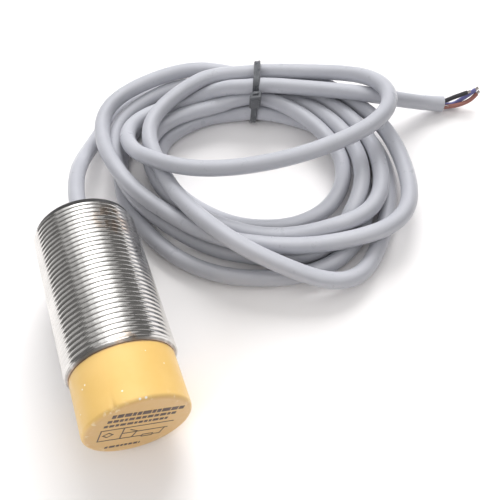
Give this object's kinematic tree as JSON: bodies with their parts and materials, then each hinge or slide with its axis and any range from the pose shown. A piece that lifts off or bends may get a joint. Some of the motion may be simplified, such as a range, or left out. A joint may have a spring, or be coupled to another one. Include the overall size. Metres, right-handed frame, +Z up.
{
  "type": "proximity sensor",
  "caption": "Cylindrical inductive proximity sensor: threaded plated barrel, yellow sensing cap, coiled grey cable held by a tie, bare cores at its end.",
  "frame": {"origin": "on the floor under the middle of the sensor, the cable left out", "axes": "+Z up, the sensor's axis along Y with its sensing face towards -Y, the coiled cable on the +X side"},
  "size_m": [0.1553, 0.1285, 0.03],
  "materials": {
    "barrel": "bright nickel plating on brass, turned thread",
    "cap": "yellow moulded plastic, satin",
    "dark_plastic": "dark grey moulded plastic",
    "cable_jacket": "grey PVC, satin",
    "grommet": "soft black collar, matt",
    "tie": "dark grey nylon, satin",
    "ferrite": "sintered ferrite, matt",
    "copper": "enamelled copper wire",
    "former": "natural moulded plastic",
    "laminate": "green solder resist",
    "component_black": "moulded black package",
    "component_tan": "ceramic, satin",
    "resin": "cast resin",
    "steel": "thin steel sheet",
    "core_brown": "brown PVC insulation",
    "core_blue": "blue PVC insulation",
    "core_black": "black PVC insulation"
  },
  "bodies": {
    "root": {"barrel": "barrel", "front_cap": "cap", "rear_cap": "dark_plastic", "cable_grommet": "grommet", "crimp_ring": "steel", "ferrite_core": "ferrite", "coil_bobbin": "former", "coil_winding": "copper", "coil_lead_start": "copper", "coil_lead_finish": "copper", "core_carrier": "former", "shield_sleeve": "steel", "potting_compound": "resin", "circuit_board": "laminate", "oscillator_chip": "component_black", "output_transistor": "component_black", "polarity_diode": "component_black", "surge_diode": "component_black", "supply_capacitor": "component_tan", "filter_capacitor": "component_tan", "resonance_capacitor": "component_tan", "trim_resistor": "component_tan", "bias_resistor": "component_tan", "feedback_resistor": "component_tan", "hysteresis_resistor": "component_tan", "load_resistor": "component_tan", "brown_inner_lead": "core_brown", "blue_inner_lead": "core_blue", "black_inner_lead": "core_black", "cable_lead": "cable_jacket", "cable_coil": "cable_jacket", "cable_loop": "cable_jacket", "cable_tail": "cable_jacket", "cable_tie": "tie", "brown_core_end": "core_brown", "blue_core_end": "core_blue", "black_core_end": "core_black"}
  },
  "joints": []
}
